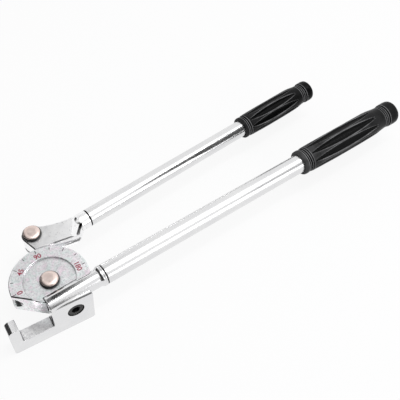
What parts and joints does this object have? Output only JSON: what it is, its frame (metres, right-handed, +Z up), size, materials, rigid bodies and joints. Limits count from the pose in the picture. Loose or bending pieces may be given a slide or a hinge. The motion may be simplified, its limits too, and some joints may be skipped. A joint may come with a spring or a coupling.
{
  "type": "hand tube bender",
  "caption": "Lever tube bender: a grooved forming wheel with a degree scale on one long gripped handle, and a bending shoe on a second one, swung round it by a link.",
  "frame": {"origin": "centre of the flat crown on the centre pin's head, on the forming wheel's axis", "axes": "+Z up out of the scale face along the wheel's axis, +X from the axis to the 180 degree mark, along the handles, +Y to the 90 degree mark"},
  "size_m": [0.5022, 0.1438, 0.0554],
  "materials": {
    "zinc_plate": "satin zinc plate",
    "chrome_plate": "bright chrome plate",
    "satin_steel": "satin plated steel",
    "coppered_steel": "pale copper tinted steel",
    "black_oxide": "black oxide steel",
    "bronze": "plain bearing bronze",
    "black_rubber": "satin moulded rubber"
  },
  "bodies": {
    "form_side": {"forming_wheel": "zinc_plate", "form_body": "chrome_plate", "clamp_screw": "black_oxide", "lock_washer": "black_oxide", "form_tube": "chrome_plate", "form_tube_pin": "satin_steel", "form_grip": "black_rubber", "centre_pin": "coppered_steel", "centre_thrust_washer": "satin_steel", "centre_pin_washer": "satin_steel", "centre_pin_ring": "satin_steel"},
    "link": {"link_plate": "satin_steel", "link_bush": "bronze", "shoe_pin": "coppered_steel", "shoe_thrust_washer": "satin_steel", "shoe_pin_washer": "satin_steel", "shoe_pin_ring": "satin_steel"},
    "shoe_side": {"bending_shoe": "satin_steel", "shoe_bush": "bronze", "shoe_tube": "chrome_plate", "shoe_tube_pin": "satin_steel", "shoe_grip": "black_rubber"}
  },
  "joints": [
    {"name": "link_swing", "type": "hinge", "parent": "form_side", "child": "link", "pos_m": [0, 0, 0], "axis": [0, 0, 1], "range_deg": [-6, 102]},
    {"name": "shoe_swing", "type": "hinge", "parent": "link", "child": "shoe_side", "pos_m": [0.00604, 0.0605, 0], "axis": [0, 0, 1], "range_deg": [-2, 100]}
  ]
}
